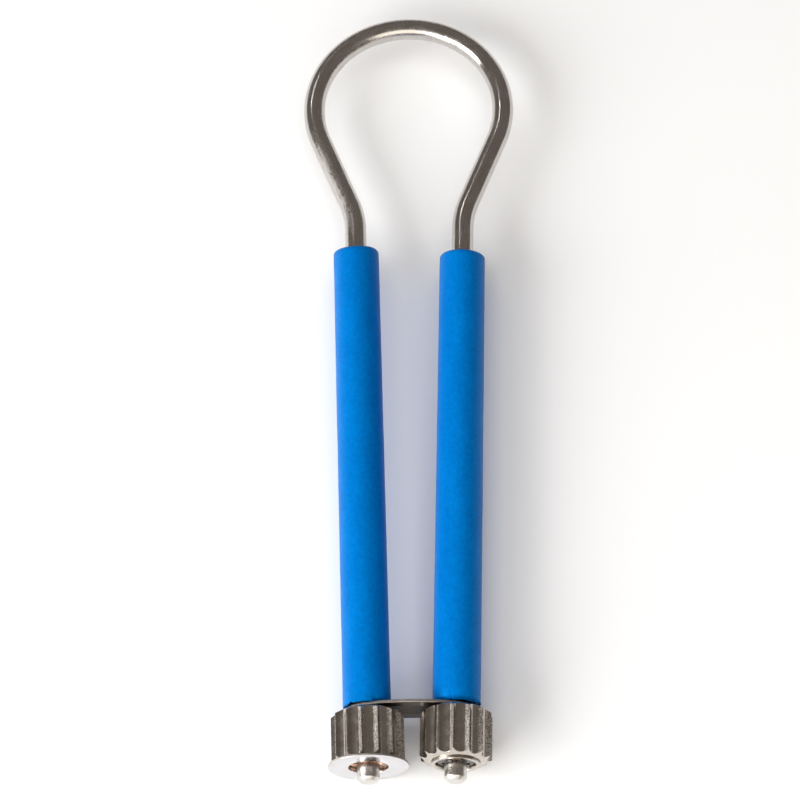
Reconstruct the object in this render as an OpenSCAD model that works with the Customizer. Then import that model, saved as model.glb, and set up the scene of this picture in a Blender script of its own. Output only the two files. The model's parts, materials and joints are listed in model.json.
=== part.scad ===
// Squeeze crimper for the wire of beekeeping frames.
// The tool lies flat: +Y runs from the rollers to the bow, +X to the right-hand leg, +Z up.
// Origin: middle of the outline, at the lowest point of the flange disc.

/* [Spring rod] */
// Diameter of the round spring rod
rod_d = 6; // [5.5:0.1:6.2]
// Radius of the bow, to the rod's centreline
bow_r = 27.27; // [26:0.1:29]
// Distance from the rod tips to the bow's centre
bow_t = 202.3; // [198:0.5:212]
// Angle between the bow's straight shoulders and the long axis
shoulder_deg = 22.12; // [20:0.5:25]
// Centreline radius of the reverse bend above each grip
bend_r = 23.5; // [18:0.5:28]
// Distance of each leg from the middle, at the rod tips
leg_x = 11.34; // [11.2:0.05:12]
// Lean of each leg away from the long axis
leg_lean = 1.364; // [1:0.05:1.5]
// Chamfer on the rod tips
tip_chamfer = 1; // [0.5:0.1:1.2]
// Diameter at the bottom of the clip grooves
groove_d = 5; // [4.8:0.1:5.2]

/* [Grips] */
// Outside diameter of the grip sleeves
grip_d = 12.8; // [11.5:0.1:13.4]
// Distance from the rod tips to the sleeves' lower ends
grip_start = 21.3; // [21.3:0.1:23]
// Distance from the rod tip to the left sleeve's upper end
grip_end_left = 155.6; // [120:0.5:157]
// Distance from the rod tip to the right sleeve's upper end
grip_end_right = 154.1; // [120:0.5:157]
// Rounding of the sleeve ends
grip_round = 1.1; // [0.4:0.1:1.6]

/* [Guide plate] */
// Half length of the oval plate
plate_a = 17; // [16.6:0.1:19]
// Half width of the oval plate
plate_b = 6.72; // [6:0.1:8]
// Thickness of the plate
plate_t = 0.8; // [0.5:0.1:0.8]
// Distance from the rod tips to the plate's lower face
plate_u = 19.85; // [19.8:0.01:19.9]
// Length of travel that the slot gives the right-hand leg
slot_travel = 4.4; // [4:0.1:4.8]

/* [Rollers] */
// Radius over the tooth tips
tip_r = 9.65; // [9:0.05:9.8]
// Number of flutes
teeth = 14; // [12:1:16]
// Radius of each concave flute
flute_r = 2.1; // [1.8:0.05:2.15]
// Depth of the flutes below the tips
flute_depth = 1.42; // [1:0.02:1.5]
// Width of the fluted body, end face to end face
roller_w = 14.2; // [12:0.1:14.2]
// Radius where the end chamfers start
chamfer_r = 7.5; // [7:0.1:8]
// Axial length of the end chamfers
chamfer_w = 1.24; // [0.8:0.02:1.4]
// Radius of the raised hub ring
hub_r = 6.5; // [6.2:0.1:7]
// Height of the raised hub ring
hub_h = 0.65; // [0.4:0.05:0.8]
// Radius of the recess in the hub
recess_r = 5.3; // [5.2:0.05:5.6]
// Depth of the recess below the roller's end face
recess_depth = 1.75; // [1.7:0.05:2]
// Distance from the rod tip to the left roller's end face
left_u = 4.8; // [4.8:0.01:4.9]
// Distance from the rod tip to the right roller's end face
right_u = 5.2; // [5.15:0.01:5.2]
// Angle of the left roller's first tooth from straight up
left_phase = 17.36; // [0:0.01:25.7]
// Angle of the right roller's first tooth from straight up
right_phase = -4.5; // [-25.7:0.01:25.7]

/* [Flange disc] */
// Radius of the flange disc on the left roller
disc_r = 10.63; // [10.2:0.05:11]

/* [Bushes and clips] */
// Outside radius of the bronze bushes
bush_r = 4.5; // [4:0.1:4.8]
// Radial running clearance between the rod and its bush
run_gap = 0.05; // [0.02:0.01:0.1]
// Outside radius of the retaining clips in the hub recess
clip_r = 4.95; // [4.6:0.05:5]
// Thickness of the retaining clips
clip_t = 0.7; // [0.5:0.1:0.7]
// Distance from the rod tip to the clip
clip_u = 5.35; // [5.3:0.01:5.4]
// Thickness of the thrust washers
washer_t = 0.4; // [0.2:0.05:0.4]
// Outside radius of the stop rings above the plate
stop_r = 4.6; // [4.2:0.1:4.8]

/* [Hidden] */
$fn = 96;
rod_r = rod_d / 2;
grip_r = grip_d / 2;
groove_r = groove_d / 2;
total_t = bow_t + bow_r + rod_r;
y0 = -total_t / 2;
axis_z = disc_r;
hole_r = rod_r + 0.1;
stop_u_left = plate_u + plate_t + 0.15;
stop_u_right = plate_u + plate_t + 0.5;
groove_play = 0.02;
lap = 0.2;
// shoulder, bend and leg of the right-hand half
p1 = [bow_r * cos(shoulder_deg), bow_t - bow_r * sin(shoulder_deg)];
sd = [-sin(shoulder_deg), -cos(shoulder_deg)];
ld = [-sin(leg_lean), -cos(leg_lean)];
tl = tan(leg_lean);
sh_len = (leg_x + tl * p1[1] - p1[0]) / (sd[0] - tl * sd[1]);
corner = p1 + sh_len * sd;
turn = shoulder_deg - leg_lean;
trim = bend_r * tan(turn / 2);
bend_a = corner - trim * sd;
bend_b = corner + trim * ld;
bend_c = bend_b + bend_r * [cos(leg_lean), -sin(leg_lean)];
leg_len = (bend_b[1]) / cos(leg_lean);

// puts a child drawn along +Y from the rod tip onto the left (-1) or right (1) leg
module on_leg(s) {
  translate([s * leg_x, y0, axis_z]) rotate([0, 0, -s * leg_lean]) children();
}

// turns a profile of (radius, distance from the tip) about the leg's axis
module turned(pts) {
  rotate([-90, 0, 0]) rotate_extrude() polygon(pts);
}

// short land that joins two runs of the rod, drawn along +Y
module joint_land(x, y, a) {
  translate([x, y0 + y, axis_z]) rotate([0, 0, -a]) rotate([-90, 0, 0])
    translate([0, 0, -2 * lap]) cylinder(r = rod_r + 0.02, h = 4 * lap);
}

// half of the bent spring rod, on the right
module half_rod(stop_u) {
  bow_lap = lap / bow_r * 180 / PI;
  bend_lap = lap / bend_r * 180 / PI;
  translate([0, y0 + bow_t, axis_z]) rotate([0, 0, -shoulder_deg + bow_lap])
    rotate_extrude(angle = 90 + shoulder_deg - bow_lap) translate([bow_r, 0]) circle(r = rod_r);
  joint_land(p1[0], p1[1], shoulder_deg);
  translate([bend_a[0], y0 + bend_a[1], axis_z]) rotate([0, 0, -shoulder_deg]) rotate([-90, 0, 0])
    translate([0, 0, lap]) cylinder(r = rod_r, h = sh_len - trim - 2 * lap);
  joint_land(bend_a[0], bend_a[1], shoulder_deg);
  translate([bend_c[0], y0 + bend_c[1], axis_z]) rotate([0, 0, 180 - shoulder_deg + bend_lap])
    rotate_extrude(angle = turn - 2 * bend_lap) translate([bend_r, 0]) circle(r = rod_r);
  joint_land(bend_b[0], bend_b[1], leg_lean);
  on_leg(1) turned([[0, 0], [rod_r - tip_chamfer * 0.9, 0], [rod_r, tip_chamfer],
    [rod_r, clip_u - groove_play], [groove_r, clip_u - groove_play],
    [groove_r, clip_u + clip_t + groove_play], [rod_r, clip_u + clip_t + groove_play],
    [rod_r, stop_u - groove_play], [groove_r, stop_u - groove_play],
    [groove_r, stop_u + clip_t + groove_play], [rod_r, stop_u + clip_t + groove_play],
    [rod_r, leg_len - lap], [0, leg_len - lap]]);
}

module arm_left() {
  color([0.50, 0.48, 0.46]) mirror([1, 0, 0]) half_rod(stop_u_left);
}

module arm_right() {
  color([0.50, 0.48, 0.46]) half_rod(stop_u_right);
}

module sleeve(s, top) {
  g = grip_round;
  color([0.0, 0.50, 0.86]) on_leg(s)
    turned([[stop_r + 0.4, grip_start], [grip_r - 0.35, grip_start], [grip_r, grip_start + 0.5],
      [grip_r, top - g], [grip_r - 0.076 * g, top - 0.617 * g], [grip_r - 0.293 * g, top - 0.293 * g],
      [grip_r - 0.617 * g, top - 0.076 * g], [grip_r - g, top], [rod_r, top],
      [rod_r, stop_u_right + clip_t + 0.15], [stop_r + 0.4, stop_u_right + clip_t + 0.15]]);
}

module grip_sleeve_left() {
  sleeve(-1, grip_end_left);
}

module grip_sleeve_right() {
  sleeve(1, grip_end_right);
}

// oval plate held on the left leg, slotted for the right one
module guide_plate() {
  xr = leg_x + (plate_u + plate_t / 2) * tl;
  color([0.52, 0.49, 0.46]) translate([0, y0 + plate_u, axis_z]) rotate([-90, 0, 0]) difference() {
    linear_extrude(height = plate_t)
      polygon([for (i = [0:95]) [plate_a * cos(i * 3.75), plate_b * sin(i * 3.75)]]);
    translate([-xr, 0, -1]) cylinder(r = hole_r, h = plate_t + 2);
    translate([xr, 0, -1]) cylinder(r = hole_r, h = plate_t + 2);
    translate([xr - slot_travel, 0, -1]) cylinder(r = hole_r, h = plate_t + 2);
    translate([xr - slot_travel, -hole_r, -1]) cube([slot_travel, 2 * hole_r, plate_t + 2]);
  }
}

// fluted crimping roller with a hub ring, a clip recess and a bush bore
module roller(s, u, phase) {
  w = roller_w;
  color([0.55, 0.52, 0.48]) on_leg(s) translate([0, u, 0]) difference() {
    turned([[recess_r, -hub_h], [hub_r - 0.12, -hub_h], [hub_r, -hub_h + 0.12], [hub_r, -0.15],
      [hub_r - 0.3, -0.15], [hub_r - 0.3, 0], [chamfer_r, 0], [tip_r, chamfer_w],
      [tip_r, w - chamfer_w], [chamfer_r, w], [bush_r, w], [bush_r, recess_depth],
      [recess_r, recess_depth]]);
    for (i = [0:teeth - 1]) rotate([0, phase + (i + 0.5) * 360 / teeth, 0])
      translate([0, -1, tip_r - flute_depth + flute_r]) rotate([-90, 0, 0])
        cylinder(r = flute_r, h = w + 2, $fn = 64);
  }
}

module roller_left() {
  roller(-1, left_u, left_phase);
}

module roller_right() {
  roller(1, right_u, right_phase);
}

module flange_disc() {
  color([0.80, 0.80, 0.80]) on_leg(-1) translate([0, left_u, 0])
    turned([[hub_r, -hub_h], [disc_r - 0.08, -hub_h], [disc_r, -hub_h + 0.08], [disc_r, -0.08],
      [disc_r - 0.08, 0], [hub_r, 0]]);
}

module bush(s, u) {
  color([0.72, 0.45, 0.30]) on_leg(s) translate([0, u, 0])
    turned([[rod_r + run_gap, recess_depth], [bush_r, recess_depth], [bush_r, roller_w],
      [rod_r + run_gap, roller_w]]);
}

module bush_left() {
  bush(-1, left_u);
}

module bush_right() {
  bush(1, right_u);
}

module thrust_washer(s) {
  u = clip_u + clip_t + 0.02;
  color([0.62, 0.48, 0.38]) on_leg(s)
    turned([[rod_r + 0.1, u], [clip_r - 0.15, u], [clip_r - 0.15, u + washer_t], [rod_r + 0.1, u + washer_t]]);
}

module thrust_washer_left() {
  thrust_washer(-1);
}

module thrust_washer_right() {
  thrust_washer(1);
}

// E-shaped clip: three prongs on the groove, two pockets, one open side
module e_clip(s, u, r, turn_deg) {
  on_leg(s) translate([0, u, 0]) rotate([0, turn_deg, 0]) rotate([-90, 0, 0])
    linear_extrude(height = clip_t) difference() {
      circle(r = r);
      circle(r = groove_r + 0.02);
      for (a = [-1, 1]) rotate(90 + a * 62) translate([rod_r + 0.15, 0]) circle(r = 0.95, $fn = 32);
      translate([-groove_r * 0.8, -r - 1]) square([groove_r * 1.6, r + 1]);
    }
}

module retaining_clip_left() {
  color([0.62, 0.40, 0.30]) e_clip(-1, clip_u, clip_r, 150);
}

module retaining_clip_right() {
  color([0.45, 0.45, 0.46]) e_clip(1, clip_u, clip_r, 0);
}

module stop_ring_left() {
  color([0.10, 0.10, 0.11]) e_clip(-1, stop_u_left, stop_r, 90);
}

module stop_ring_right() {
  color([0.10, 0.10, 0.11]) e_clip(1, stop_u_right, stop_r, -90);
}

arm_left();
arm_right();
grip_sleeve_left();
grip_sleeve_right();
guide_plate();
roller_left();
roller_right();
flange_disc();
bush_left();
bush_right();
thrust_washer_left();
thrust_washer_right();
retaining_clip_left();
retaining_clip_right();
stop_ring_left();
stop_ring_right();
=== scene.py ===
import math
import bpy
import numpy as np
from mathutils import Matrix, Vector
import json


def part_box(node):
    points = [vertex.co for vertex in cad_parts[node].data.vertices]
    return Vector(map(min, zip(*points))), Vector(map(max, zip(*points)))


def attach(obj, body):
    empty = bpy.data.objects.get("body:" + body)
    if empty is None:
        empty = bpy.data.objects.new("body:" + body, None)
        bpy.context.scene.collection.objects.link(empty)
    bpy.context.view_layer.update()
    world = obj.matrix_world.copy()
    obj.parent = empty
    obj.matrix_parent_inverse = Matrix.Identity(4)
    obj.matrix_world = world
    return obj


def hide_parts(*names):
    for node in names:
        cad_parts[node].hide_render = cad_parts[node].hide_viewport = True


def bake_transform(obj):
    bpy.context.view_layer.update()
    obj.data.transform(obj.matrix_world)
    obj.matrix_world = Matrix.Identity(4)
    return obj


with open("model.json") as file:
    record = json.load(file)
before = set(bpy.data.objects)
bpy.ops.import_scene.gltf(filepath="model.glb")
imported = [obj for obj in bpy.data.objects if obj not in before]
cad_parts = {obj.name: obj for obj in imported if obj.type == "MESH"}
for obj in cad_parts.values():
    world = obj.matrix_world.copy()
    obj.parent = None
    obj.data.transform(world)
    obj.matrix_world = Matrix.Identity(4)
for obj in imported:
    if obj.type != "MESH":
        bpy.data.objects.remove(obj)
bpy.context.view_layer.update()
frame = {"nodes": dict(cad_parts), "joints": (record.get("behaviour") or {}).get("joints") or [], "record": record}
SC = bpy.context.scene
rng = np.random.default_rng(7)

# ---------------------------------------------------------------- dimensions (mm, as the CAD)
JOINT = {j["name"]: j for j in frame["joints"]}
ARM_LO, ARM_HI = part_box("arm_right")
Y0 = ARM_LO.y * 1000.0                      # rod tips
AXZ = JOINT["squeeze"]["pos_m"][2] * 1000.0  # height of the rod's axis
ROD = frame["record"]["mounts"][0]["dims"]["r_mm"]
BOW_R = ARM_HI.x * 1000.0 - ROD
BOW_Y = ARM_HI.y * 1000.0 - ROD - BOW_R
SHOULDER = math.radians(22.12)
BEND_R = 23.5
LEG_X = 11.34
LEAN = math.radians(1.364)
CLIP_U, CLIP_T = 5.35, 0.7
STOP_U = {-1: 20.8, 1: 21.15}
GROOVE = 2.5
U_ROLL = {-1: 4.8, 1: 5.2}
TIP_R, TEETH, FL_R, FL_D = 9.65, 14, 2.1, 1.42
W_ROLL, CH_R, CH_W = 14.2, 7.5, 1.24
HUB_R, HUB_H, REC_R, REC_D, BUSH_R = 6.5, 0.65, 5.3, 1.75, 4.5
PHASE = {-1: math.radians(17.36), 1: math.radians(-4.5)}
DISC_R = 10.63
GRIP_R, GRIP_END = 6.4, {-1: 155.6, 1: 154.1}
PLATE_U, PLATE_T, PLATE_A, PLATE_B = 19.85, 0.8, 17.0, 6.72
SLOT = 4.4
SIDE = {-1: "left", 1: "right"}


def leg_frame(s):
    a = np.array([s * math.sin(LEAN), math.cos(LEAN), 0.0])
    ex = np.array([math.cos(LEAN), -s * math.sin(LEAN), 0.0])
    ez = np.array([0.0, 0.0, 1.0])
    return np.array([s * LEG_X, Y0, AXZ]), a, ex, ez


def leg_pt(s, u, r, phi):
    """Point on a leg: u along it from the tip, r off its axis, phi from straight up towards +X."""
    p, a, ex, ez = leg_frame(s)
    u, r, phi = np.broadcast_arrays(np.asarray(u, float), np.asarray(r, float), np.asarray(phi, float))
    return (p + u[..., None] * a + (r * np.sin(phi))[..., None] * ex + (r * np.cos(phi))[..., None] * ez)


# ---------------------------------------------------------------- noise, for shapes
def value_noise(n_keys, n_out, seed, closed=False):
    g = np.random.default_rng(seed)
    k = g.uniform(-1, 1, n_keys)
    t = np.linspace(0, n_keys if closed else n_keys - 1, n_out, endpoint=not closed)
    i = np.floor(t).astype(int)
    f = t - i
    f = f * f * (3 - 2 * f)
    if closed:
        return k[i % n_keys] * (1 - f) + k[(i + 1) % n_keys] * f
    i = np.clip(i, 0, n_keys - 2)
    f = np.clip(t - i, 0, 1)
    f = f * f * (3 - 2 * f)
    return k[i] * (1 - f) + k[i + 1] * f


def grid_noise(ni, nj, ki, kj, seed, closed_j=True):
    """Smooth random field on an ni by nj grid, with ki by kj cells; it closes round j."""
    g = np.random.default_rng(seed)
    k = g.uniform(-1, 1, (ki + 2, kj + 2))
    if closed_j:
        k[:, kj] = k[:, 0]
        k[:, kj + 1] = k[:, 1]
    ti = np.linspace(0, ki, ni)
    tj = np.linspace(0, kj, nj, endpoint=not closed_j)
    i, j = np.minimum(ti.astype(int), ki), np.minimum(tj.astype(int), kj)
    fi, fj = ti - i, tj - j
    fi, fj = fi * fi * (3 - 2 * fi), fj * fj * (3 - 2 * fj)
    a = k[np.ix_(i, j)]
    b = k[np.ix_(i + 1, j)]
    c = k[np.ix_(i, j + 1)]
    d = k[np.ix_(i + 1, j + 1)]
    fi, fj = fi[:, None], fj[None, :]
    return (a * (1 - fi) + b * fi) * (1 - fj) + (c * (1 - fi) + d * fi) * fj


# ---------------------------------------------------------------- mesh helpers
def make_mesh(name, verts_mm, faces, uvs=None, sharp_deg=35.0, mat_ids=None):
    me = bpy.data.meshes.new(name)
    me.from_pydata([tuple(v) for v in np.asarray(verts_mm, float) / 1000.0], [], faces)
    me.validate()
    if uvs is not None:
        layer = me.uv_layers.new(name="UVMap")
        uv = np.asarray(uvs, float)
        idx = np.zeros(len(me.loops), int)
        me.loops.foreach_get("vertex_index", idx)
        layer.data.foreach_set("uv", uv[idx].astype(np.float32).ravel())
    if mat_ids is not None:
        me.polygons.foreach_set("material_index", np.asarray(mat_ids, np.int32))
    me.polygons.foreach_set("use_smooth", np.ones(len(me.polygons), bool))
    me.update()
    o = bpy.data.objects.new(name, me)
    SC.collection.objects.link(o)
    me.set_sharp_from_angle(angle=math.radians(sharp_deg))
    return o


def grid_faces(ni, nj, closed_i=False, closed_j=True, off=0):
    out = []
    for i in range(ni if closed_i else ni - 1):
        i2 = (i + 1) % ni
        for j in range(nj if closed_j else nj - 1):
            j2 = (j + 1) % nj
            out.append((off + i * nj + j, off + i * nj + j2, off + i2 * nj + j2, off + i2 * nj + j))
    return out


def ring_grid(s, prof, n, phi0=0.0):
    """Points of a profile [(r, u), ...] turned about a leg: array (len(prof), n, 3), and its UVs in mm."""
    prof = np.asarray(prof, float)
    phi = phi0 + np.linspace(0, 2 * math.pi, n, endpoint=False)
    pts = leg_pt(s, prof[:, 1][:, None], prof[:, 0][:, None], phi[None, :])
    arc = np.r_[0, np.cumsum(np.hypot(*np.diff(prof, axis=0).T))]
    uv = np.stack(np.broadcast_arrays(arc[:, None], (phi - phi0)[None, :] * prof[:, 0].max()), -1)
    return pts, uv


def lathe(name, s, prof, n=128, closed=True, sharp_deg=35.0, mats=None):
    pts, uv = ring_grid(s, prof, n)
    faces = grid_faces(len(prof), n, closed_i=closed)
    faces = [f[::-1] for f in faces]
    ids = None
    if mats is not None:
        ids = [mats[k // n] for k in range(len(faces))]
    return make_mesh(name, pts.reshape(-1, 3), faces, uv.reshape(-1, 2), sharp_deg, ids)


def round_corner(p0, p1, p2, r, n=5):
    """Corner p1 of a profile, rounded by about r."""
    p0, p1, p2 = (np.array(p, float) for p in (p0, p1, p2))
    a, b = p0 - p1, p2 - p1
    la, lb = np.linalg.norm(a), np.linalg.norm(b)
    r = min(r, la * 0.45, lb * 0.45)
    a, b = p1 + a / la * r, p1 + b / lb * r
    t = np.linspace(0, 1, n)[:, None]
    return ((1 - t) ** 2 * a + 2 * t * (1 - t) * p1 + t ** 2 * b).tolist()


def rounded(prof, radii, n=5, closed=True):
    out = []
    m = len(prof)
    for i, p in enumerate(prof):
        r = radii[i] if isinstance(radii, (list, tuple)) else radii
        if r <= 0 or (not closed and i in (0, m - 1)):
            out.append(list(p))
        else:
            out += round_corner(prof[i - 1], p, prof[(i + 1) % m], r, n)
    return out


# ---------------------------------------------------------------- material helpers
class Mat:
    def __init__(self, name):
        self.m = bpy.data.materials.new(name)
        self.m.use_nodes = True
        self.t = self.m.node_tree
        self.b = next(n for n in self.t.nodes if n.type == "BSDF_PRINCIPLED")

    def n(self, kind, **kw):
        node = self.t.nodes.new(kind)
        for k, v in kw.items():
            if k in node.inputs.keys():
                node.inputs[k].default_value = v
            else:
                setattr(node, k, v)
        return node

    def l(self, a, ao, b, bi):
        self.t.links.new(a.outputs[ao], b.inputs[bi])

    def set(self, **kw):
        for k, v in kw.items():
            self.b.inputs[k.replace("_", " ")].default_value = v
        return self

    def coords(self, kind="Object", scale=(1, 1, 1), rot=(0, 0, 0)):
        tc = self.n("ShaderNodeTexCoord")
        mp = self.n("ShaderNodeMapping")
        mp.inputs["Scale"].default_value = scale
        mp.inputs["Rotation"].default_value = rot
        self.l(tc, kind, mp, "Vector")
        return mp

    def noise(self, mp, scale, detail=4, rough=0.55, dist=0.0):
        nz = self.n("ShaderNodeTexNoise")
        nz.inputs["Scale"].default_value = scale
        nz.inputs["Detail"].default_value = detail
        nz.inputs["Roughness"].default_value = rough
        nz.inputs["Distortion"].default_value = dist
        self.l(mp, "Vector", nz, "Vector")
        return nz

    def ramp(self, src, out, stops):
        r = self.n("ShaderNodeValToRGB")
        e = r.color_ramp.elements
        while len(e) < len(stops):
            e.new(0.5)
        for el, (pos, col) in zip(e, stops):
            el.position = pos
            el.color = col if len(col) == 4 else (*col, 1)
        self.l(src, out, r, "Fac")
        return r

    def rng(self, src, out, a, b, lo, hi):
        r = self.n("ShaderNodeMapRange")
        r.inputs["From Min"].default_value = a
        r.inputs["From Max"].default_value = b
        r.inputs["To Min"].default_value = lo
        r.inputs["To Max"].default_value = hi
        self.l(src, out, r, "Value")
        return r

    def math(self, op, a, ao, b=None, bo=None, val=None):
        m = self.n("ShaderNodeMath", operation=op)
        self.t.links.new(a.outputs[ao], m.inputs[0])
        if b is not None:
            self.t.links.new(b.outputs[bo], m.inputs[1])
        elif val is not None:
            m.inputs[1].default_value = val
        return m

    def mix(self, fac, fo, a, ao, b, bo):
        m = self.n("ShaderNodeMix", data_type="RGBA")
        self.t.links.new(fac.outputs[fo], m.inputs["Factor"])
        for src, so, name in ((a, ao, 6), (b, bo, 7)):
            if src is None:
                m.inputs[name].default_value = so if len(so) == 4 else (*so, 1)
            else:
                self.t.links.new(src.outputs[so], m.inputs[name])
        return m

    def bump(self, src, out, strength, dist, prev=None):
        b = self.n("ShaderNodeBump")
        b.inputs["Strength"].default_value = strength
        b.inputs["Distance"].default_value = dist
        self.l(src, out, b, "Height")
        if prev is not None:
            self.l(prev, "Normal", b, "Normal")
        self.l(b, "Normal", self.b, "Normal")
        return b


def mat_rod():
    """Drawn and polished stainless: streaks along the rod, scuffed dull patches, faint warm tint, turned ends."""
    m = Mat("rod_steel")
    m.set(Metallic=1.0)
    worn = m.n("ShaderNodeAttribute", attribute_name="worn")
    pin = m.n("ShaderNodeAttribute", attribute_name="pin")
    streak = m.noise(m.coords("UV", (0.05, 2.2, 1)), 3.0, 5, 0.6)
    patch = m.noise(m.coords("UV", (0.10, 0.22, 1)), 1.6, 6, 0.66, 0.5)
    speck = m.noise(m.coords("UV", (0.9, 1.6, 1)), 1.3, 4, 0.7)
    fine = m.noise(m.coords("UV", (0.8, 3.0, 1)), 6.0, 3, 0.7)
    turned = m.noise(m.coords("UV", (5.0, 0.15, 1)), 3.0, 3, 0.6)
    col = m.ramp(patch, "Fac", [(0.30, (0.53, 0.50, 0.47)), (0.55, (0.61, 0.585, 0.56)), (0.75, (0.50, 0.475, 0.45))])
    pale = m.mix(pin, "Fac", col, "Color", None, (0.66, 0.645, 0.62))
    m.l(pale, 2, m.b, "Base Color")
    r1 = m.rng(patch, "Fac", 0.40, 0.70, 0.10, 0.27)
    r2 = m.rng(streak, "Fac", 0.3, 0.7, -0.03, 0.07)
    add = m.math("ADD", r1, "Result", r2, "Result")
    sp = m.rng(speck, "Fac", 0.35, 0.65, 0.10, 0.32)
    wr = m.math("MULTIPLY", worn, "Fac", sp, "Result")
    add2 = m.math("ADD", add, "Value", wr, "Value")
    pr = m.math("MULTIPLY", pin, "Fac", None, None, 0.13)
    add3 = m.math("ADD", add2, "Value", pr, "Value")
    m.l(add3, "Value", m.b, "Roughness")
    b1 = m.bump(streak, "Fac", 0.06, 0.00004)
    b2 = m.bump(fine, "Fac", 0.06, 0.00003, b1)
    ws = m.math("MULTIPLY", worn, "Fac", speck, "Fac")
    b3 = m.bump(ws, "Value", 0.16, 0.00005, b2)
    tp = m.math("MULTIPLY", pin, "Fac", turned, "Fac")
    m.bump(tp, "Value", 0.35, 0.00005, b3)
    return m.m


def mat_grip():
    """Thick blue PVC hose: satin, faint cloudy colour, fine grain, light scuffs."""
    m = Mat("grip_blue")
    ob = m.coords("Object", (1, 1, 1))
    cloud = m.noise(m.coords("Object", (1, 0.35, 1)), 260.0, 4, 0.6)
    grain = m.noise(ob, 4200.0, 3, 0.6)
    pores = m.noise(ob, 1500.0, 4, 0.65)
    col = m.ramp(cloud, "Fac", [(0.30, (0.000, 0.145, 0.490)), (0.52, (0.000, 0.157, 0.520)), (0.74, (0.000, 0.172, 0.550))])
    weave = m.noise(m.coords("Object", (1, 0.8, 1)), 1150.0, 3, 0.6, 0.2)
    tone = m.rng(weave, "Fac", 0.36, 0.64, 0.91, 1.06)
    hsv = m.n("ShaderNodeHueSaturation")
    m.l(tone, "Result", hsv, "Value")
    m.l(col, "Color", hsv, "Color")
    m.l(hsv, "Color", m.b, "Base Color")
    r = m.rng(pores, "Fac", 0.3, 0.7, 0.36, 0.50)
    m.l(r, "Result", m.b, "Roughness")
    m.b.inputs["IOR"].default_value = 1.46
    m.b.inputs["Specular IOR Level"].default_value = 0.22
    m.b.inputs["Specular Tint"].default_value = (0.02, 0.45, 1.0, 1)
    b1 = m.bump(pores, "Fac", 0.10, 0.00006)
    m.bump(grain, "Fac", 0.12, 0.00003, b1)
    return m.m


def mat_plate():
    m = Mat("plate_steel")
    m.set(Metallic=1.0)
    ob = m.coords("Object", (1, 1, 1))
    cloud = m.noise(m.coords("Object", (1, 3, 1)), 220.0, 4, 0.6)
    grain = m.noise(m.coords("Object", (0.35, 4, 1)), 3200.0, 3, 0.6)
    # the flat faces get a very dark colour, far darker than the cut edges (plate_cut_edge)
    col = m.ramp(cloud, "Fac", [(0.30, (0.115, 0.098, 0.083)), (0.60, (0.15, 0.130, 0.112)), (0.8, (0.13, 0.112, 0.096))])
    m.l(col, "Color", m.b, "Base Color")
    r = m.rng(cloud, "Fac", 0.3, 0.7, 0.30, 0.42)
    m.l(r, "Result", m.b, "Roughness")
    m.bump(grain, "Fac", 0.15, 0.00003)
    return m.m


def mat_roller():
    """Nickel-plated steel: smooth dark flutes, coarse torn lands and flanks (the 'rough' attribute); where 'rough' is
    set the base colour is also lifted, a painted highlight on the torn flanks that face the key light, and the 'shade'
    attribute paints shade on the flanks turned away from it.
    """
    m = Mat("roller_nickel")
    m.set(Metallic=1.0)
    at = m.n("ShaderNodeAttribute", attribute_name="rough")
    ob = m.coords("Object", (1, 1, 1))
    coarse = m.noise(m.coords("Object", (1, 1, 1)), 2400.0, 4, 0.65, 0.2)
    pit = m.noise(ob, 6500.0, 3, 0.6)
    cloud = m.noise(ob, 320.0, 4, 0.6)
    col = m.ramp(cloud, "Fac", [(0.30, (0.50, 0.455, 0.405)), (0.55, (0.57, 0.53, 0.48)), (0.78, (0.53, 0.50, 0.465))])
    # painted shade: the 'shade' attribute pulls the base colour towards near-black on the flank of each tooth turned
    # away from the key light
    sh = m.n("ShaderNodeAttribute", attribute_name="shade")
    painted_shade_fac = m.math("MULTIPLY", sh, "Fac", None, None, 0.85)
    dark = m.mix(painted_shade_fac, "Value", col, "Color", None, (0.11, 0.098, 0.086))
    # partly painted highlight: where 'rough' is set, above all on the torn flanks facing the key light, the base colour
    # is lifted towards a pale grey; the dark pits below belong to the torn surface
    torn_flank_highlight_col = m.mix(at, "Fac", dark, 2, None, (0.74, 0.70, 0.65))
    pits = m.rng(coarse, "Fac", 0.42, 0.54, 1.0, 0.0)
    pv = m.math("MULTIPLY", pits, "Result", at, "Fac")
    pv2 = m.math("MULTIPLY", pv, "Value", None, None, 0.75)
    pitted = m.mix(pv2, "Value", torn_flank_highlight_col, 2, None, (0.12, 0.105, 0.092))
    m.l(pitted, 2, m.b, "Base Color")
    base = m.rng(cloud, "Fac", 0.3, 0.7, 0.20, 0.30)
    add = m.n("ShaderNodeMath", operation="MULTIPLY_ADD")
    m.l(at, "Fac", add, 0)
    add.inputs[1].default_value = 0.16
    m.l(base, "Result", add, 2)
    m.l(add, "Value", m.b, "Roughness")
    h = m.math("MULTIPLY", coarse, "Fac", at, "Fac")
    b1 = m.bump(h, "Value", 1.0, 0.00026)
    m.bump(pit, "Fac", 0.10, 0.00003, b1)
    return m.m


def mat_disc():
    """Mirror-polished disc with faint turning lines."""
    m = Mat("disc_mirror")
    m.set(Metallic=1.0)
    rad = m.n("ShaderNodeUVMap")
    lines = m.noise(m.coords("UV", (14, 0.05, 1)), 3.0, 4, 0.6)
    haze = m.noise(m.coords("Object", (1, 1, 1)), 240.0, 4, 0.6)
    col = m.ramp(haze, "Fac", [(0.3, (0.62, 0.615, 0.635)), (0.7, (0.68, 0.675, 0.695))])
    m.l(col, "Color", m.b, "Base Color")
    r = m.rng(haze, "Fac", 0.3, 0.7, 0.035, 0.085)
    m.l(r, "Result", m.b, "Roughness")
    m.bump(lines, "Fac", 0.04, 0.00002)
    return m.m


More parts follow.
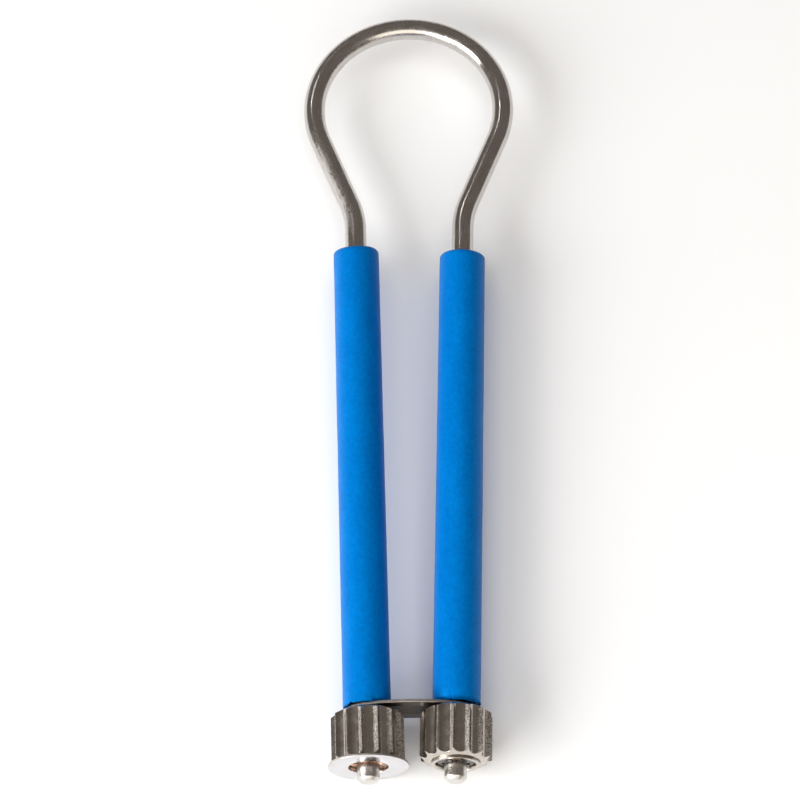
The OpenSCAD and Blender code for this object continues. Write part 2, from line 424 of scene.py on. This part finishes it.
def mat_bronze(name, c0, c1, r0, r1):
    m = Mat(name)
    m.set(Metallic=1.0)
    ob = m.coords("Object", (1, 1, 1))
    cloud = m.noise(ob, 900.0, 4, 0.6)
    grain = m.noise(ob, 5200.0, 3, 0.6)
    col = m.ramp(cloud, "Fac", [(0.3, c0), (0.7, c1)])
    m.l(col, "Color", m.b, "Base Color")
    r = m.rng(cloud, "Fac", 0.3, 0.7, r0, r1)
    m.l(r, "Result", m.b, "Roughness")
    m.bump(grain, "Fac", 0.15, 0.00003)
    return m.m


def mat_floor():
    m = Mat("floor_pale")
    nz = m.noise(m.coords("Object", (1, 1, 1)), 6.0, 3, 0.5)
    col = m.ramp(nz, "Fac", [(0.3, (0.930, 0.945, 0.960)), (0.7, (0.945, 0.960, 0.975))])
    m.l(col, "Color", m.b, "Base Color")
    m.b.inputs["Roughness"].default_value = 0.9
    m.b.inputs["Specular IOR Level"].default_value = 0.1
    return m.m


M_ROD, M_GRIP, M_PLATE, M_ROLLER, M_DISC = mat_rod(), mat_grip(), mat_plate(), mat_roller(), mat_disc()
M_PLATE_EDGE = mat_bronze("plate_cut_edge", (0.50, 0.47, 0.44), (0.62, 0.59, 0.56), 0.42, 0.55)
M_BUSH = mat_bronze("bush_bronze", (0.50, 0.26, 0.15), (0.62, 0.35, 0.22), 0.30, 0.45)
M_WASHER = mat_bronze("washer_bronze", (0.48, 0.34, 0.25), (0.58, 0.43, 0.33), 0.30, 0.42)
M_CLIP_L = mat_bronze("clip_copper", (0.70, 0.40, 0.28), (0.84, 0.54, 0.41), 0.30, 0.42)
M_CLIP_R = mat_bronze("clip_steel", (0.10, 0.10, 0.102), (0.16, 0.16, 0.162), 0.25, 0.38)
M_STOP = mat_bronze("stop_black", (0.025, 0.025, 0.027), (0.05, 0.05, 0.052), 0.35, 0.5)


# ---------------------------------------------------------------- spring rod: one swept piece
def rod_path():
    """Centreline of the right half in the plane of the rod, from the bow's middle to the end of the bend: points (x, y)
    and unit tangents, then the bend's end, the tip and the leg's length.
    """
    p1 = np.array([BOW_R * math.cos(SHOULDER), BOW_Y - BOW_R * math.sin(SHOULDER)])
    sd = np.array([-math.sin(SHOULDER), -math.cos(SHOULDER)])
    ld = np.array([-math.sin(LEAN), -math.cos(LEAN)])
    tip = np.array([LEG_X, Y0])
    tl = math.tan(LEAN)
    sh = (LEG_X + tl * (p1[1] - Y0) - p1[0]) / (sd[0] - tl * sd[1])
    corner = p1 + sh * sd
    turn = SHOULDER - LEAN
    trim = BEND_R * math.tan(turn / 2)
    ba, bb = corner - trim * sd, corner + trim * ld
    bc = bb + BEND_R * np.array([math.cos(LEAN), -math.sin(LEAN)])
    pts, tan = [], []
    for q in np.linspace(math.pi / 2, -SHOULDER, 121):
        pts.append([BOW_R * math.cos(q), BOW_Y + BOW_R * math.sin(q)])
        tan.append([math.sin(q), -math.cos(q)])
    for t in np.linspace(0, 1, 14)[1:]:
        pts.append(p1 + (ba - p1) * t)
        tan.append(sd)
    a0, a1 = math.pi - SHOULDER, math.pi - LEAN
    for q in np.linspace(a0, a1, 18)[1:]:
        pts.append(bc + BEND_R * np.array([math.cos(q), math.sin(q)]))
        tan.append([-math.sin(q), math.cos(q)])
    leg = np.linalg.norm(bb - tip)
    # the leg's length from the bend to the tip; the grooves, the chamfer and the rounded end are in build_rod's profile
    return np.array(pts), np.array(tan), bb, tip, leg


def build_rod():
    pts, tan, bb, tip, leg = rod_path()
    n = 56
    phi = np.linspace(0, 2 * math.pi, n, endpoint=False)
    rows = {}
    for s in (-1, 1):
        p0, a, ex, ez = leg_frame(s)
        st, gp = STOP_U[s], 0.02
        gl = 2.55 if s < 0 else 3.05     # a fine turned line round the pin
        prof = [(0.0, 0.0), (0.9, 0.0), (1.75, 0.0), (2.02, 0.015), (2.16, 0.06), (2.26, 0.15), (2.90, 0.86), (2.975, 0.95), (3.0, 1.06), (3.0, 1.5), (3.0, gl), (2.87, gl + 0.06), (2.87, gl + 0.22), (2.965, gl + 0.28), (2.975, gl + 0.5),
                (3.0, CLIP_U - gp - 0.12), (2.97, CLIP_U - gp), (GROOVE, CLIP_U - gp), (GROOVE, CLIP_U + CLIP_T + gp), (2.97, CLIP_U + CLIP_T + gp), (3.0, CLIP_U + CLIP_T + gp + 0.12),
                (3.0, 12), (3.0, 20), (2.97, st - gp), (GROOVE, st - gp), (GROOVE, st + CLIP_T + gp), (2.97, st + CLIP_T + gp), (3.0, st + 1.0), (3.0, 60), (3.0, 100), (3.0, 140)]
        for u in np.linspace(148, leg, 12):
            prof.append((3.0, float(u)))
        rows[s] = (prof, p0, a, ex, ez)
    V, UV, WORN, PIN = [], [], [], []
    ring = 0

    def add(centre, e1, r, s_len):
        nonlocal ring
        # the top of the section (phi = 0) is +Z, and phi grows towards e1
        for f in phi:
            V.append(centre + r * math.sin(f) * e1 + r * math.cos(f) * np.array([0, 0, 1.0]))
            UV.append((s_len, f * ROD))
            # left shoulder and outer side of the bow are scuffed dull; the ends are turned
            side = math.sin(f) * e1[0]
            w = 0.06
            if centre[0] < 0 and BOW_Y - 46 < centre[1] < BOW_Y - 4:
                w += 0.8 * min(1.0, max(0.0, 0.55 - side)) * min(1.0, (centre[1] - BOW_Y + 46) / 10, (BOW_Y - 4 - centre[1]) / 12)
            if centre[1] > BOW_Y + 12:
                w += 0.30 * min(1.0, (centre[1] - BOW_Y - 12) / 10)
            WORN.append(w)
            PIN.append(1.0 if centre[1] < Y0 + 5.0 else 0.0)
        ring += 1

    total = 0.0
    # left tip up to the bow
    prof, p0, a, ex, ez = rows[-1]
    for r, u in prof:
        add(p0 + u * a, ex, r, u)
    s_len = prof[-1][1]
    lp = pts[::-1] * np.array([-1, 1])
    lt = tan[::-1] * np.array([-1, 1])
    prev = lp[0]
    for p, t in list(zip(lp, lt))[1:]:
        s_len += float(np.linalg.norm(p - prev))
        prev = p
        # travel is towards the bow, so the in-plane normal that matches ex is (t rotated)
        tr = -t
        e1 = np.array([tr[1], -tr[0], 0.0])
        e1 /= np.linalg.norm(e1)
        add(np.array([p[0], p[1], AXZ]), e1, 3.0, s_len)
    # right half, from just past the middle to the tip
    prev = pts[0]
    for p, t in list(zip(pts, tan))[1:]:
        s_len += float(np.linalg.norm(p - prev))
        prev = p
        e1 = np.array([t[1], -t[0], 0.0])
        e1 /= np.linalg.norm(e1)
        add(np.array([p[0], p[1], AXZ]), e1, 3.0, s_len)
    prof, p0, a, ex, ez = rows[1]
    last_u = prof[-1][1]
    for r, u in prof[::-1][1:]:
        add(p0 + u * a, -ex, r, s_len + (last_u - u))
    V = np.array(V)
    faces = grid_faces(ring, n)
    o = make_mesh("spring_rod", V, faces, np.array(UV), sharp_deg=40)
    me = o.data
    for nm, vals in (("worn", WORN), ("pin", PIN)):
        me.attributes.new(nm, "FLOAT", "POINT").data.foreach_set("value", np.array(vals, np.float32))
    me.materials.append(M_ROD)
    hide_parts("arm_left", "arm_right")
    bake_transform(o)
    return o


build_rod()


# ---------------------------------------------------------------- grip sleeves
def build_grip(s):
    n = 176
    top = GRIP_END[s]
    start = 21.3
    phi = np.linspace(0, 2 * math.pi, n, endpoint=False)
    us = list(np.linspace(0.75, top - start - 1.9, 58))
    rows = []
    # ragged lower end: a thin torn lip, which hangs past the plate's edge where nothing is under it
    pd = (np.degrees(phi) + 180) % 360 - 180
    if s < 0:
        reach = np.clip((pd + 104) / 6, 0, 1) * np.clip((19 - pd) / 5, 0, 1)
        low = -0.57 - 0.45 * reach
        rag = 0.40 + 0.5 * reach
    else:
        reach = np.zeros(n)
        low = -0.355 + 0.134 * np.sin(phi)
        rag = 0.35
    crush = 1.32 * np.clip((72 - np.abs(pd - (0 if s > 0 else 25))) / 22, 0, 1) * (1 - reach)
    edge = value_noise(46, n, 11 + s, True) * 0.13 + value_noise(19, n, 23 + s, True) * 0.13
    nick = np.clip(value_noise(26, n, 31 + s, True) - 0.50, 0, 1) * 1.3
    jag = value_noise(88, n, 41 + s, True)
    chip = value_noise(54, n, 43 + s, True)
    low = low + rag * (np.abs(edge) + nick) + 0.05 * np.abs(jag)
    bore = 4.78
    inner = np.minimum(6.14, GRIP_R - crush - 0.14)
    face = np.where(crush > 0.3, low + 0.05, 0.10)
    rows.append((np.full(n, bore), np.full(n, 0.9)))
    rows.append((np.full(n, bore), np.full(n, 0.35)))
    rows.append((bore + 0.12 + 0.04 * jag, face + 0.05))
    rows.append((np.minimum(inner - 0.08, 5.9), face + 0.03 * jag))
    rows.append((inner, low + 0.10))
    rows.append((inner + 0.06 + 0.03 * jag, low + 0.02))
    rows.append((GRIP_R - crush - 0.04 + 0.05 * chip, low + 0.06))
    rows.append((GRIP_R - crush * 0.72 + 0.07 * chip, low + 0.20 + 0.05 * jag))
    rows.append((GRIP_R - crush * 0.40 - 0.05 * chip + 0.03 * jag, np.minimum(low + 0.42, 0.45)))
    rows.append((GRIP_R - crush * 0.12 + 0.03 * chip, np.minimum(low + 0.75, 0.6)))
    wav = grid_noise(len(us), n, 16, 6, 71 + s) * 0.035 + grid_noise(len(us), n, 40, 14, 81 + s) * 0.012
    for k, u in enumerate(us):
        mixl = max(0.0, 1 - (u - 0.75) / 3.0)
        rows.append((GRIP_R + wav[k], np.full(n, u) + (low + 0.1) * mixl * 0.5))
    h = top - start + (0.65 if s < 0 else 0.35) * np.sin(phi) ** 2 - 0.25 * np.clip(np.cos(phi - 0.9 * s), 0, 1) ** 4
    g = 0.95 + 0.35 * np.cos(phi) ** 2
    wob = value_noise(7, n, 91 + s, True)
    cut = 0.10 * np.cos(phi - 0.6 * s)
    for a in np.linspace(0, 90, 9)[1:]:
        ar = math.radians(a)
        rows.append((GRIP_R - g * (1 - math.cos(ar)) + wav[-1] * (1 - a / 90), h - g + g * math.sin(ar) + (0.06 * wob + cut) * (a / 90) - 0.1))
    lip = 0.05 * value_noise(11, n, 97 + s, True)
    rows.append((np.full(n, 4.4), h - 0.12 + 0.06 * wob + cut))
    rows.append((np.full(n, 3.6), h - 0.20 + 0.06 * wob + cut + lip))
    rows.append((np.full(n, 3.18), h - 0.34 + 0.06 * wob + cut + lip))
    rows.append((np.full(n, 3.03), h - 0.60 + cut))
    rows.append((np.full(n, 3.03), h - 4.5))
    R = np.array([np.broadcast_to(r, (n,)) for r, _ in rows])
    U = np.array([np.broadcast_to(u, (n,)) for _, u in rows]) + start
    P = leg_pt(s, U, R, phi[None, :])
    uv = np.stack([U, np.broadcast_to(phi[None, :] * GRIP_R, U.shape)], -1)
    faces = [f[::-1] for f in grid_faces(len(rows), n)]
    o = make_mesh(f"grip_{SIDE[s]}", P.reshape(-1, 3), faces, uv.reshape(-1, 2), sharp_deg=50)
    o.data.materials.append(M_GRIP)
    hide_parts(f"grip_sleeve_{SIDE[s]}")
    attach(o, f"{SIDE[s]}_arm")
    return o


for side in (-1, 1):
    build_grip(side)


# ---------------------------------------------------------------- flat stamped pieces, from outlines with holes
def stamped(name, loops, thick, edge, place):
    """Flat piece from closed outlines (first the outside, then the holes) in a plane, with rounded edges. place maps (n, 3) local points to mm."""
    cu = bpy.data.curves.new(name + "_c", "CURVE")
    cu.dimensions = "2D"
    cu.fill_mode = "BOTH"
    cu.extrude = thick / 2 - edge
    cu.bevel_depth = edge
    cu.bevel_resolution = 2
    cu.offset = -edge
    for lp in loops:
        sp = cu.splines.new("POLY")
        sp.points.add(len(lp) - 1)
        sp.points.foreach_set("co", np.c_[np.asarray(lp, float), np.zeros(len(lp)), np.ones(len(lp))].astype(np.float32).ravel())
        sp.use_cyclic_u = True
    tmp = bpy.data.objects.new(name + "_c", cu)
    SC.collection.objects.link(tmp)
    bpy.context.view_layer.update()
    me = bpy.data.meshes.new_from_object(tmp.evaluated_get(bpy.context.evaluated_depsgraph_get()))
    bpy.data.objects.remove(tmp)
    bpy.data.curves.remove(cu)
    import bmesh
    bm = bmesh.new()
    bm.from_mesh(me)
    bmesh.ops.remove_doubles(bm, verts=bm.verts, dist=1e-5)
    bmesh.ops.recalc_face_normals(bm, faces=bm.faces)
    co = np.array([v.co for v in bm.verts], float)
    co = place(co) / 1000.0
    for v, c in zip(bm.verts, co):
        v.co = c
    bmesh.ops.recalc_face_normals(bm, faces=bm.faces)
    bm.to_mesh(me)
    bm.free()
    me.name = name
    me.polygons.foreach_set("use_smooth", np.ones(len(me.polygons), bool))
    me.materials.clear()
    me.update()
    o = bpy.data.objects.new(name, me)
    SC.collection.objects.link(o)
    me.set_sharp_from_angle(angle=math.radians(38))
    return o


def circle_pts(cx, cy, r, n, a0=0.0, a1=2 * math.pi, end=False):
    t = np.linspace(a0, a1, n, endpoint=end)
    return np.stack([cx + r * np.cos(t), cy + r * np.sin(t)], -1)


def build_plate():
    xr = LEG_X + (PLATE_U + PLATE_T / 2) * math.tan(LEAN)
    out = np.stack([PLATE_A * np.cos(np.linspace(0, 2 * math.pi, 160, endpoint=False)), PLATE_B * np.sin(np.linspace(0, 2 * math.pi, 160, endpoint=False))], -1)
    hole = circle_pts(-xr, 0, 3.1, 64)[::-1]
    slot = np.concatenate([circle_pts(xr, 0, 3.1, 32, -math.pi / 2, math.pi / 2, True), circle_pts(xr - SLOT, 0, 3.1, 32, math.pi / 2, 1.5 * math.pi, True)])[::-1]

    def place(c):
        return np.stack([c[:, 0], Y0 + PLATE_U + PLATE_T / 2 + c[:, 2], AXZ + c[:, 1]], -1)
    o = stamped("plate", [out, hole, slot], PLATE_T, 0.12, place)
    o.data.materials.append(M_PLATE)
    o.data.materials.append(M_PLATE_EDGE)
    for pl in o.data.polygons:
        if abs(pl.normal.y) < 0.8:
            pl.material_index = 1
    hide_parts("guide_plate")
    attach(o, "left_arm")


build_plate()


def clip_outline(r_out):
    """E-shaped clip: opening towards -y, two pockets beside the back prong, three prongs on the groove."""
    gi = GROOVE + 0.02
    half = math.asin(0.80 * GROOVE / r_out)
    out = circle_pts(0, 0, r_out, 72, -math.pi / 2 + half, 1.5 * math.pi - half, True)
    # inside edge, walked back: side prong, pocket, back prong, pocket, side prong
    inner = []
    hw = math.asin(min(0.999, 0.80 * GROOVE / gi))
    a_end = -math.pi / 2 - hw + 2 * math.pi
    pk = [math.radians(90 + 62), math.radians(90 - 62)]
    pr, pc = 0.95, ROD + 0.15
    # half-angle at which a pocket meets the groove circle
    ca = (gi * gi + pc * pc - pr * pr) / (2 * gi * pc)
    dl = math.acos(max(-1, min(1, ca)))
    ang = a_end
    inner += [[gi * math.cos(t), gi * math.sin(t)] for t in np.linspace(ang, pk[0] + dl, 10)]
    for i, k in enumerate(pk):
        c = np.array([pc * math.cos(k), pc * math.sin(k)])
        p_in = np.array([gi * math.cos(k + dl), gi * math.sin(k + dl)]) - c
        p_out = np.array([gi * math.cos(k - dl), gi * math.sin(k - dl)]) - c
        a0 = math.atan2(p_in[1], p_in[0])
        a1 = math.atan2(p_out[1], p_out[0])
        out_dir = k
        # go round through the outer side of the pocket
        d = (a1 - a0) % (2 * math.pi)
        mid = a0 + d / 2
        if math.cos(mid - out_dir) < 0:
            d -= 2 * math.pi
        inner += [[c[0] + pr * math.cos(a0 + d * t), c[1] + pr * math.sin(a0 + d * t)] for t in np.linspace(0, 1, 22)]
        nxt = pk[1] + dl if i == 0 else -math.pi / 2 + hw
        inner += [[gi * math.cos(t), gi * math.sin(t)] for t in np.linspace(k - dl, nxt, 12)[1:-1]]
    inner.append([gi * math.cos(-math.pi / 2 + hw), gi * math.sin(-math.pi / 2 + hw)])
    return np.concatenate([out, np.array(inner)])


def build_clip(name, node, s, u, r_out, turn_deg, mat, body):
    t = math.radians(turn_deg)
    p0, a, ex, ez = leg_frame(s)

    def place(c):
        # local +y is straight down in the clip's own plane; turn_deg turns it about the leg
        x = c[:, 0] * math.cos(t) - c[:, 1] * math.sin(t)
        y = c[:, 0] * math.sin(t) + c[:, 1] * math.cos(t)
        uu = u + CLIP_T / 2 + c[:, 2]
        return p0 + uu[:, None] * a + x[:, None] * ex - y[:, None] * ez
    o = stamped(name, [clip_outline(r_out)], CLIP_T, 0.09, place)
    o.data.materials.append(mat)
    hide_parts(node)
    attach(o, body)


build_clip("clip_left", "retaining_clip_left", -1, CLIP_U, 4.95, 150, M_CLIP_L, "left_arm")
build_clip("clip_right", "retaining_clip_right", 1, CLIP_U, 4.95, 0, M_CLIP_R, "right_arm")
build_clip("stop_left", "stop_ring_left", -1, STOP_U[-1], 4.6, 90, M_STOP, "left_arm")
build_clip("stop_right", "stop_ring_right", 1, STOP_U[1], 4.6, -90, M_STOP, "right_arm")


# ---------------------------------------------------------------- rollers
def flute_radius(d):
    """Radius of the fluted outline at angle d from a tooth tip's middle, with slightly broken tip edges."""
    pitch = 2 * math.pi / TEETH
    d = np.abs((d + pitch / 2) % pitch - pitch / 2)
    c = TIP_R - FL_D + FL_R
    e = pitch / 2 - d                      # angle from the flute's middle
    disc = FL_R ** 2 - (c * np.sin(e)) ** 2
    r = np.where(disc > 0, c * np.cos(e) - np.sqrt(np.clip(disc, 0, None)), TIP_R)
    # the teeth come to more of a point: a slightly wider arc with the same depth, inside the CAD outline
    fr = 2.334
    c2 = TIP_R - FL_D + fr
    disc2 = fr ** 2 - (c2 * np.sin(e)) ** 2
    r2 = np.where(disc2 > 0, c2 * np.cos(e) - np.sqrt(np.clip(disc2, 0, None)), TIP_R)
    return np.minimum(np.minimum(r, r2), TIP_R)


def build_roller(s):
    u0 = U_ROLL[s]
    pitch = 2 * math.pi / TEETH
    c = TIP_R - FL_D + FL_R
    half_fl = math.acos((TIP_R ** 2 + c ** 2 - FL_R ** 2) / (2 * TIP_R * c))
    land = pitch / 2 - half_fl
    # samples over one pitch, denser by the tip edges
    q = np.concatenate([[0.0, land * 0.2, land * 0.45, land * 0.7], land + half_fl * 2 * (1 - np.cos(np.linspace(0.05, math.pi - 0.05, 23))) / 2, [pitch - land * 0.7, pitch - land * 0.45, pitch - land * 0.2]])
    q = np.unique(np.round(q, 6))
    d = np.concatenate([k * pitch + q for k in range(TEETH)])
    rf = flute_radius(d)
    tipness = np.clip((rf - (TIP_R - 0.45)) / 0.45, 0, 1)
    # angle of each sample round the leg; phi grows towards +X
    m = len(d)
    phi = PHASE[s] + d
    slope = CH_W / (TIP_R - CH_R)
    vc = (rf - CH_R) * slope
    rows = []                               # (r, v, rough)
    one = np.ones(m)

    def row(r, v, rough=0.0):
        rows.append((r * one, v * one, rough * one))
    disc_side = s < 0
    row(BUSH_R, REC_D)
    row(REC_R - 0.10, REC_D)
    row(REC_R, REC_D - 0.10)
    if disc_side:
        row(REC_R, -0.06)
        row(HUB_R - 0.02, -0.06)
        row(HUB_R - 0.02, 0.0)
    else:
        row(REC_R, -HUB_H + 0.40)
        row(REC_R + 0.08, -HUB_H + 0.14, 0.22)
        row(REC_R + 0.13, -HUB_H + 0.04, 0.22)
        row(REC_R + 0.20, -HUB_H, 0.22)
        row(HUB_R - 0.16, -HUB_H, 0.22)
        row(HUB_R - 0.03, -HUB_H + 0.05, 0.22)
        row(HUB_R, -HUB_H + 0.14, 0.22)
        row(HUB_R, -0.405, 0.22)
        row(HUB_R - 0.09, -0.39)
        row(HUB_R - 0.09, -0.355)
        row(HUB_R, -0.34, 0.22)
        row(HUB_R, -0.19, 0.22)
        row(HUB_R - 0.03, -0.15)
        row(HUB_R - 0.28, -0.15)
        row(HUB_R - 0.28, 0.0)
    row(CH_R - 0.05, 0.0)
    row(CH_R + 0.04, 0.015)
    for t in (0.25, 0.5, 0.75, 0.93):
        rows.append((CH_R + (rf - CH_R) * t, vc * t, 0.0 * one))
    e = 0.045
    rows.append((rf - 0.012, vc + 0.012, 0.3 * tipness))
    nm = 96
    mid = np.linspace(0, 1, nm)
    ns = grid_noise(nm, m, 46, 190, 201 + s)
    ns2 = grid_noise(nm, m, 24, 120, 211 + s)
    # the torn flank: on the side of each tooth where phi is smaller, which faces the key light; through 'rough' it also
    # carries the lighter painted-highlight colour
    dd = (d + pitch / 2) % pitch - pitch / 2
    dg = np.degrees(dd)
    flank = np.clip((dg + 6.5) / 1.5, 0, 1) * np.clip((0.7 - dg) / 1.0, 0, 1)
    # painted shade, kept in the 'shade' attribute: a darker base colour on the flank of each tooth turned towards +X,
    # away from the key light
    shade = np.clip((dg - 0.4) / 1.2, 0, 1) * np.clip((8.0 - dg) / 4.0, 0, 1) * 0.35
    lo, hi = vc + e, W_ROLL - vc - e
    for k, t in enumerate(mid):
        fade = min(1.0, k / 3.0, (nm - 1 - k) / 3.0)
        amp = (0.060 * ns[k] + 0.050 * ns2[k] - 0.035) * flank * fade
        r = np.minimum(rf + amp, TIP_R)
        rows.append((r, lo + (hi - lo) * t, np.clip(flank * 1.2, 0, 1)))
    rows.append((rf - 0.012, W_ROLL - vc - 0.012, 0.3 * tipness))
    for t in (0.93, 0.5):
        rows.append((CH_R + (rf - CH_R) * t, W_ROLL - vc * t, 0.0 * one))
    row(CH_R + 0.03, W_ROLL - 0.015)
    row(CH_R - 0.05, W_ROLL)
    row(BUSH_R, W_ROLL)
    row(BUSH_R, W_ROLL * 0.5)
    R = np.array([r for r, _, _ in rows])
    Vv = np.array([v for _, v, _ in rows])
    Q = np.array([x for _, _, x in rows])
    P = leg_pt(s, u0 + Vv, R, phi[None, :])
    uv = np.stack([Vv, np.broadcast_to(d[None, :] * TIP_R, Vv.shape)], -1)
    faces = [f[::-1] for f in grid_faces(len(rows), m, closed_i=True)]
    o = make_mesh(f"roller_{SIDE[s]}_fluted", P.reshape(-1, 3), faces, uv.reshape(-1, 2), sharp_deg=32)
    at = o.data.attributes.new("rough", "FLOAT", "POINT")
    at.data.foreach_set("value", Q.ravel().astype(np.float32))
    Q = np.minimum(Q, 1.0) * (1.0 if s < 0 else 0.7)
    body = (R > CH_R + 0.2) & (Vv > vc[None, :] + 0.02) & (Vv < W_ROLL - vc[None, :] - 0.02)
    # the painted shade goes only on the fluted body, not on the chamfers or the ends
    at = o.data.attributes.new("shade", "FLOAT", "POINT")
    at.data.foreach_set("value", (shade[None, :] * body).ravel().astype(np.float32))
    o.data.materials.append(M_ROLLER)
    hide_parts(f"roller_{SIDE[s]}")
    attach(o, f"{SIDE[s]}_roller")


for side in (-1, 1):
    build_roller(side)


# ---------------------------------------------------------------- flange disc
u = U_ROLL[-1]
prof = [(REC_R, u - 0.075), (REC_R, u - HUB_H + 0.06), (REC_R + 0.02, u - HUB_H + 0.025), (REC_R + 0.08, u - HUB_H), (DISC_R - 0.10, u - HUB_H), (DISC_R - 0.03, u - HUB_H + 0.03), (DISC_R, u - HUB_H + 0.10),
        (DISC_R, u - 0.12), (DISC_R - 0.04, u - 0.04), (DISC_R - 0.12, u), (HUB_R + 0.01, u), (HUB_R + 0.01, u - 0.075)]
disc = lathe("flange_disc_polished", -1, prof, 192, True, 30)
disc.data.materials.append(M_DISC)
disc.data.materials.append(M_PLATE_EDGE)
for pl in disc.data.polygons:
    if abs(pl.normal.y) < 0.6 and pl.center.xyz.length > 0 and math.hypot(pl.center.x * 1000 + LEG_X + 0.12, pl.center.z * 1000 - AXZ) > DISC_R - 0.3:
        pl.material_index = 1
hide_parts("flange_disc")
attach(disc, "left_roller")

# ---------------------------------------------------------------- bushes and thrust washers keep their CAD shape
for s in (-1, 1):
    for node, mat in ((f"bush_{SIDE[s]}", M_BUSH), (f"thrust_washer_{SIDE[s]}", M_WASHER)):
        ob = frame["nodes"][node]
        if not ob.material_slots:
            ob.data.materials.append(mat)
        for sl in ob.material_slots:
            sl.material = mat

# ---------------------------------------------------------------- floor, light, camera
fm = bpy.data.meshes.new("floor")
S = 3.0
fm.from_pydata([(-S, -S, -0.0002), (S, -S, -0.0002), (S, S, -0.0002), (-S, S, -0.0002)], [], [(0, 1, 2, 3)])
floor = bpy.data.objects.new("floor", fm)
SC.collection.objects.link(floor)
floor.data.materials.append(mat_floor())


def area(name, loc, target, size, power, color=(1, 1, 1), size_y=None):
    ld = bpy.data.lights.new(name, "AREA")
    ld.energy = power
    ld.color = color
    ld.shape = "RECTANGLE"
    ld.size = size
    ld.size_y = size_y or size
    o = bpy.data.objects.new(name, ld)
    o.location = loc
    o.rotation_mode = "QUATERNION"
    o.rotation_quaternion = (Vector(target) - Vector(loc)).to_track_quat("-Z", "Y")
    SC.collection.objects.link(o)
    return o


area("key_left", (-1.20, -0.78, 0.70), (0, 0, 0), 1.5, 37.0, (1.0, 0.99, 0.975), 1.0)
area("front_card", (0.15, -1.24, 0.90), (0, 0, 0), 1.5, 9.0, (1.0, 0.94, 0.86), 1.15)
strip = area("strip_back_left", (-0.90, 1.26, 1.57), (0, 0, 0), 0.42, 0.8, (1.0, 1.0, 0.97), 0.016)
top = area("top_soft", (0.0, 0.0, 2.0), (0, 0, 0), 2.0, 14.0, (1.0, 1.0, 1.0))
top.visible_glossy = False
# turn the strip so that its length runs between the two directions it is seen in
zax = Vector((-0.90, 1.26, 1.57)).normalized()
xax = Vector((-0.44, -0.333, -0.05))
xax = (xax - xax.dot(zax) * zax).normalized()
strip.rotation_quaternion = Matrix((xax, zax.cross(xax), zax)).transposed().to_quaternion()

w = bpy.data.worlds.new("studio")
SC.world = w
w.use_nodes = True
w.node_tree.nodes["Background"].inputs["Color"].default_value = (0.170, 0.148, 0.133, 1)
w.node_tree.nodes["Background"].inputs["Strength"].default_value = 1.0

cd = bpy.data.cameras.new("cam")
cd.sensor_width = 36.0
cd.lens = 36.0 * 2985.2 / 800.0
cam = bpy.data.objects.new("cam", cd)
SC.collection.objects.link(cam)
right = Vector((0.99974414, -0.00355694, -0.02233843))
up = Vector((0.01254705, 0.90890648, 0.41681121))
back = Vector((0.01882097, -0.41698485, 0.90871855))
mat = Matrix((right, up, back)).transposed().to_4x4()
mat.translation = Vector((0.01276, Y0 / 1000 - 0.23452, AXZ / 1000 + 0.75075))
cam.matrix_world = mat
cd.clip_start, cd.clip_end = 0.05, 20
SC.camera = cam
SC.view_settings.view_transform = "Standard"
SC.view_settings.look = "None"
SC.view_settings.exposure = 0.0
